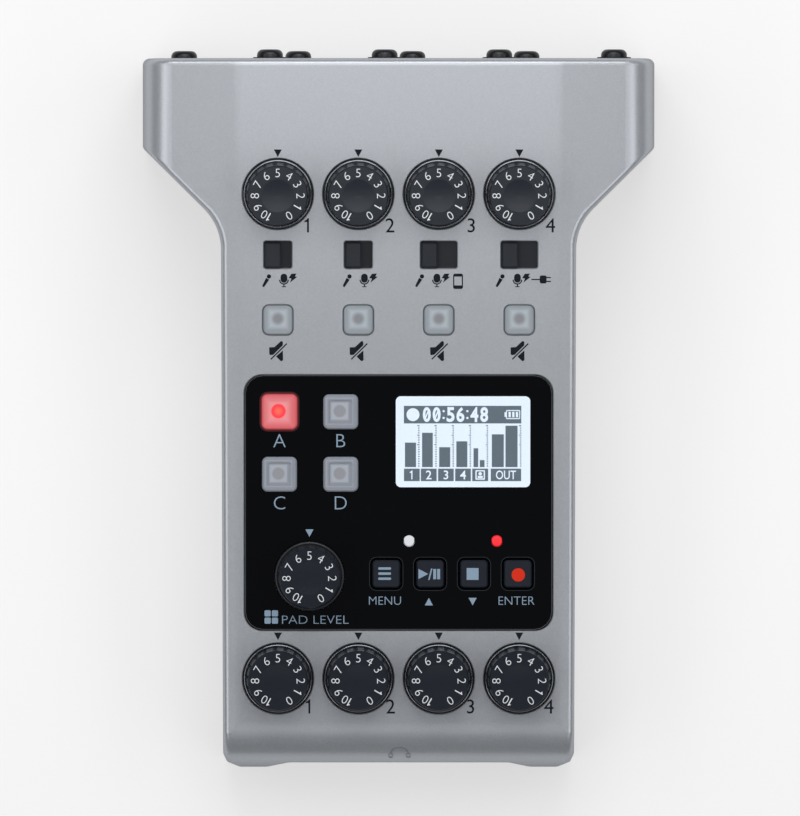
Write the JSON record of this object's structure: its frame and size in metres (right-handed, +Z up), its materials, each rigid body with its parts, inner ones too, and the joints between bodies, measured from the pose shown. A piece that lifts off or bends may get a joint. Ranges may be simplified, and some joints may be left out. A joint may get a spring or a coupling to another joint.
{
  "type": "podcast recorder",
  "caption": "Tabletop podcast mixer and recorder with a T-shaped sloping case, ribbed level knobs, mute buttons, sound pads, display and rear microphone sockets.",
  "frame": {"origin": "on the table, under the middle of the whole recorder", "axes": "+X to the right, +Y to the rear with the microphone sockets, +Z up"},
  "size_m": [0.112, 0.1572, 0.047],
  "materials": {
    "silver_paint": "satin silver paint on moulded plastic",
    "black_case": "fine spark-eroded grain",
    "black_gloss": "polished",
    "clear_lens": "clear",
    "lcd": "lit display",
    "light_pipe": "lit clear plastic",
    "rear_plate": "fine grain",
    "socket_plastic": "moulded nylon",
    "contact_metal": "plated",
    "screw_metal": "nickel plated",
    "board_green": "solder mask",
    "component_metal": "tinned",
    "jack_plastic": "moulded",
    "port_metal": "drawn shell",
    "slot_metal": "stamped",
    "card_blue": "moulded",
    "cell_jacket": "satin jacket",
    "spring_metal": "nickel plated spring steel",
    "foot_rubber": "matte",
    "dark_screw": "black plated steel",
    "knob_rubber": "soft matte",
    "slider_cap": "matte",
    "button_translucent": "translucent",
    "pad_lit": "lit translucent",
    "pad_grey": "translucent",
    "key_black": "satin black",
    "switch_cap": "ribbed"
  },
  "bodies": {
    "recorder": {"upper_case": "silver_paint", "lower_case": "black_case", "display_panel": "black_gloss", "lcd_window": "clear_lens", "lcd_module": "lcd", "light_pipes": "light_pipe", "rear_jack_plate": "rear_plate", "xlr_jack_1": "socket_plastic", "xlr_jack_2": "socket_plastic", "xlr_jack_3": "socket_plastic", "xlr_jack_4": "socket_plastic", "xlr_inserts": "socket_plastic", "xlr_contacts": "contact_metal", "xlr_screws": "screw_metal", "xlr_board": "board_green", "control_board": "board_green", "main_board": "board_green", "headphone_board": "board_green", "level_pots": "component_metal", "slide_switch_bodies": "component_metal", "tact_switches": "component_metal", "headphone_jacks": "jack_plastic", "phone_jack": "jack_plastic", "usb_ports": "port_metal", "power_switch_body": "component_metal", "card_slot": "slot_metal", "memory_card": "card_blue", "battery_cells": "cell_jacket", "battery_contacts": "spring_metal", "rubber_feet": "foot_rubber", "case_screws": "dark_screw"},
    "input_knob_1": {"input_knob_1": "knob_rubber"},
    "headphone_knob_1": {"headphone_knob_1": "knob_rubber"},
    "input_knob_2": {"input_knob_2": "knob_rubber"},
    "headphone_knob_2": {"headphone_knob_2": "knob_rubber"},
    "input_knob_3": {"input_knob_3": "knob_rubber"},
    "headphone_knob_3": {"headphone_knob_3": "knob_rubber"},
    "input_knob_4": {"input_knob_4": "knob_rubber"},
    "headphone_knob_4": {"headphone_knob_4": "knob_rubber"},
    "sound_pad_knob": {"sound_pad_knob": "knob_rubber"},
    "input_switch_1": {"input_switch_1": "slider_cap"},
    "input_switch_2": {"input_switch_2": "slider_cap"},
    "input_switch_3": {"input_switch_3": "slider_cap"},
    "input_switch_4": {"input_switch_4": "slider_cap"},
    "mute_button_1": {"mute_button_1": "button_translucent"},
    "mute_button_2": {"mute_button_2": "button_translucent"},
    "mute_button_3": {"mute_button_3": "button_translucent"},
    "mute_button_4": {"mute_button_4": "button_translucent"},
    "sound_pad_a": {"sound_pad_a": "pad_lit"},
    "sound_pad_b": {"sound_pad_b": "pad_grey"},
    "sound_pad_c": {"sound_pad_c": "pad_grey"},
    "sound_pad_d": {"sound_pad_d": "pad_grey"},
    "menu_key": {"menu_key": "key_black"},
    "play_pause_key": {"play_pause_key": "key_black"},
    "stop_key": {"stop_key": "key_black"},
    "record_key": {"record_key": "key_black"},
    "power_switch": {"power_switch": "switch_cap"},
    "card_cover": {"card_cover": "black_case"},
    "battery_cover": {"battery_cover": "black_case"}
  },
  "joints": [
    {"name": "input_knob_1_turn", "type": "hinge", "parent": "recorder", "child": "input_knob_1", "pos_m": [-0.0264, 0.04691, 0.04049], "axis": [0, -0.0785, 0.9969], "range_deg": [-150, 150]},
    {"name": "headphone_knob_1_turn", "type": "hinge", "parent": "recorder", "child": "headphone_knob_1", "pos_m": [-0.0264, -0.05912, 0.03215], "axis": [0, -0.0785, 0.9969], "range_deg": [-150, 150]},
    {"name": "input_knob_2_turn", "type": "hinge", "parent": "recorder", "child": "input_knob_2", "pos_m": [-0.0088, 0.04691, 0.04049], "axis": [0, -0.0785, 0.9969], "range_deg": [-150, 150]},
    {"name": "headphone_knob_2_turn", "type": "hinge", "parent": "recorder", "child": "headphone_knob_2", "pos_m": [-0.0088, -0.05912, 0.03215], "axis": [0, -0.0785, 0.9969], "range_deg": [-150, 150]},
    {"name": "input_knob_3_turn", "type": "hinge", "parent": "recorder", "child": "input_knob_3", "pos_m": [0.0088, 0.04691, 0.04049], "axis": [0, -0.0785, 0.9969], "range_deg": [-150, 150]},
    {"name": "headphone_knob_3_turn", "type": "hinge", "parent": "recorder", "child": "headphone_knob_3", "pos_m": [0.0088, -0.05912, 0.03215], "axis": [0, -0.0785, 0.9969], "range_deg": [-150, 150]},
    {"name": "input_knob_4_turn", "type": "hinge", "parent": "recorder", "child": "input_knob_4", "pos_m": [0.0264, 0.04691, 0.04049], "axis": [0, -0.0785, 0.9969], "range_deg": [-150, 150]},
    {"name": "headphone_knob_4_turn", "type": "hinge", "parent": "recorder", "child": "headphone_knob_4", "pos_m": [0.0264, -0.05912, 0.03215], "axis": [0, -0.0785, 0.9969], "range_deg": [-150, 150]},
    {"name": "sound_pad_knob_turn", "type": "hinge", "parent": "recorder", "child": "sound_pad_knob", "pos_m": [-0.0195, -0.03669, 0.03391], "axis": [0, -0.0785, 0.9969], "range_deg": [-150, 150]},
    {"name": "input_switch_1_slide", "type": "slide", "parent": "recorder", "child": "input_switch_1", "axis": [1, 0, 0], "range_m": [0, 0.0022]},
    {"name": "input_switch_2_slide", "type": "slide", "parent": "recorder", "child": "input_switch_2", "axis": [1, 0, 0], "range_m": [0, 0.0022]},
    {"name": "input_switch_3_slide", "type": "slide", "parent": "recorder", "child": "input_switch_3", "axis": [1, 0, 0], "range_m": [0, 0.0041]},
    {"name": "input_switch_4_slide", "type": "slide", "parent": "recorder", "child": "input_switch_4", "axis": [1, 0, 0], "range_m": [0, 0.0041]},
    {"name": "mute_button_1_press", "type": "slide", "parent": "recorder", "child": "mute_button_1", "axis": [0, 0.0785, -0.9969], "range_m": [0, 0.0004], "stiffness_N_per_m": 1000, "springref_m": -0.001},
    {"name": "mute_button_2_press", "type": "slide", "parent": "recorder", "child": "mute_button_2", "axis": [0, 0.0785, -0.9969], "range_m": [0, 0.0004], "stiffness_N_per_m": 1000, "springref_m": -0.001},
    {"name": "mute_button_3_press", "type": "slide", "parent": "recorder", "child": "mute_button_3", "axis": [0, 0.0785, -0.9969], "range_m": [0, 0.0004], "stiffness_N_per_m": 1000, "springref_m": -0.001},
    {"name": "mute_button_4_press", "type": "slide", "parent": "recorder", "child": "mute_button_4", "axis": [0, 0.0785, -0.9969], "range_m": [0, 0.0004], "stiffness_N_per_m": 1000, "springref_m": -0.001},
    {"name": "sound_pad_a_press", "type": "slide", "parent": "recorder", "child": "sound_pad_a", "axis": [0, 0.0785, -0.9969], "range_m": [0, 0.0004], "stiffness_N_per_m": 1000, "springref_m": -0.001},
    {"name": "sound_pad_b_press", "type": "slide", "parent": "recorder", "child": "sound_pad_b", "axis": [0, 0.0785, -0.9969], "range_m": [0, 0.0004], "stiffness_N_per_m": 1000, "springref_m": -0.001},
    {"name": "sound_pad_c_press", "type": "slide", "parent": "recorder", "child": "sound_pad_c", "axis": [0, 0.0785, -0.9969], "range_m": [0, 0.0004], "stiffness_N_per_m": 1000, "springref_m": -0.001},
    {"name": "sound_pad_d_press", "type": "slide", "parent": "recorder", "child": "sound_pad_d", "axis": [0, 0.0785, -0.9969], "range_m": [0, 0.0004], "stiffness_N_per_m": 1000, "springref_m": -0.001},
    {"name": "menu_key_press", "type": "slide", "parent": "recorder", "child": "menu_key", "axis": [0, 0.0785, -0.9969], "range_m": [0, 0.0004], "stiffness_N_per_m": 1000, "springref_m": -0.001},
    {"name": "play_pause_key_press", "type": "slide", "parent": "recorder", "child": "play_pause_key", "axis": [0, 0.0785, -0.9969], "range_m": [0, 0.0004], "stiffness_N_per_m": 1000, "springref_m": -0.001},
    {"name": "stop_key_press", "type": "slide", "parent": "recorder", "child": "stop_key", "axis": [0, 0.0785, -0.9969], "range_m": [0, 0.0004], "stiffness_N_per_m": 1000, "springref_m": -0.001},
    {"name": "record_key_press", "type": "slide", "parent": "recorder", "child": "record_key", "axis": [0, 0.0785, -0.9969], "range_m": [0, 0.0004], "stiffness_N_per_m": 1000, "springref_m": -0.001},
    {"name": "power_switch_slide", "type": "slide", "parent": "recorder", "child": "power_switch", "axis": [0, 1, 0], "range_m": [0, 0.0025]},
    {"name": "card_cover_hinge", "type": "hinge", "parent": "recorder", "child": "card_cover", "pos_m": [0.03786, 0.013, 0.01405], "axis": [0, 1, 0], "range_deg": [0, 90]},
    {"name": "battery_cover_hinge", "type": "hinge", "parent": "recorder", "child": "battery_cover", "pos_m": [0, -0.0038, 0.0018], "axis": [1, 0, 0], "range_deg": [0, 50]}
  ]
}
